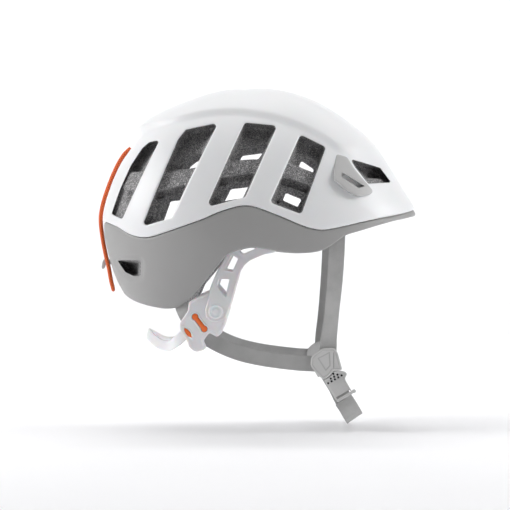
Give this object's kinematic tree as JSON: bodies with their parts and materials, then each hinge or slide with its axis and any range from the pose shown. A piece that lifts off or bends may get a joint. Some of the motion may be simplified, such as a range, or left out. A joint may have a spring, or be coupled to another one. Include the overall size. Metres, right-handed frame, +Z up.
{
  "type": "climbing helmet",
  "caption": "Hard-shell climbing helmet with side vents, foam liner, tilting headband, webbing harness with chin buckle, headlamp clips and rear elastic.",
  "frame": {"origin": "centre of the head in the plane of the headband", "axes": "+X forward, towards the visor; +Y to the wearer's left; +Z up through the crown"},
  "size_m": [0.2877, 0.2046, 0.3033],
  "materials": {
    "shell_white": "satin moulded plastic, white",
    "shell_grey": "satin moulded plastic, mid grey",
    "foam": "moulded bead foam, charcoal with pale flecks",
    "comfort_pad": "knitted cover over soft foam, black",
    "clip_grey": "satin moulded plastic, light grey",
    "frost_plastic": "milky translucent moulded plastic",
    "orange_plastic": "satin moulded plastic, orange",
    "orange_cord": "braided elastic, orange",
    "webbing": "flat woven polyester webbing, grey",
    "buckle_grey": "fine-textured moulded plastic, grey",
    "pin_metal": "nickel-plated"
  },
  "bodies": {
    "helmet": {"shell_upper": "shell_white", "shell_lower": "shell_grey", "foam_liner": "foam", "lamp_clip_left": "clip_grey", "lamp_clip_right": "clip_grey", "rear_hook": "clip_grey", "forehead_pad": "comfort_pad", "crown_pad_front": "comfort_pad", "crown_pad_rear": "comfort_pad", "headband_pivot_left": "pin_metal", "headband_pivot_right": "pin_metal", "strap_anchor_front_left": "clip_grey", "strap_anchor_front_right": "clip_grey", "strap_anchor_rear_left": "clip_grey", "strap_anchor_rear_right": "clip_grey", "strap_front_left": "webbing", "strap_front_right": "webbing", "strap_rear_left": "webbing", "strap_rear_right": "webbing", "divider_left": "buckle_grey", "divider_right": "buckle_grey", "buckle_socket": "buckle_grey", "socket_magnet": "pin_metal", "strap_ring": "buckle_grey"},
    "headband": {"headband_strut_left": "frost_plastic", "headband_strut_right": "frost_plastic", "strut_rivet_left": "frost_plastic", "strut_rivet_right": "frost_plastic", "adjuster_plate_left": "frost_plastic", "adjuster_plate_right": "frost_plastic"},
    "nape": {"nape_band": "frost_plastic"},
    "lock_left": {"lock_button_left": "orange_plastic"},
    "lock_right": {"lock_button_right": "orange_plastic"},
    "elastic": {"rear_elastic": "orange_cord"},
    "chin": {"buckle_tongue": "buckle_grey", "tongue_magnet": "pin_metal", "ladder_bar": "buckle_grey", "chin_strap": "webbing"}
  },
  "joints": [
    {"name": "headband_tilt", "type": "hinge", "parent": "helmet", "child": "headband", "pos_m": [0.024, 0, -0.014], "axis": [0, 1, 0], "range_deg": [-10, 0]},
    {"name": "nape_slide", "type": "slide", "parent": "headband", "child": "nape", "axis": [-0.7071, 0, -0.7071], "range_m": [-0.004, 0.008]},
    {"name": "lock_left_press", "type": "slide", "parent": "headband", "child": "lock_left", "axis": [0, -1, 0], "range_m": [0, 0.001], "stiffness_N_per_m": 400},
    {"name": "lock_right_press", "type": "slide", "parent": "headband", "child": "lock_right", "axis": [0, 1, 0], "range_m": [0, 0.001], "stiffness_N_per_m": 400},
    {"name": "elastic_lift", "type": "hinge", "parent": "helmet", "child": "elastic", "pos_m": [-0.1038, 0, 0.0744], "axis": [0, 1, 0], "range_deg": [0, 35], "stiffness_Nm_per_rad": 0.02},
    {"name": "chin_strap_swing", "type": "hinge", "parent": "helmet", "child": "chin", "pos_m": [0.0775, 0.0645, -0.1317], "axis": [0.866, 0, 0.5], "range_deg": [0, 50]}
  ]
}
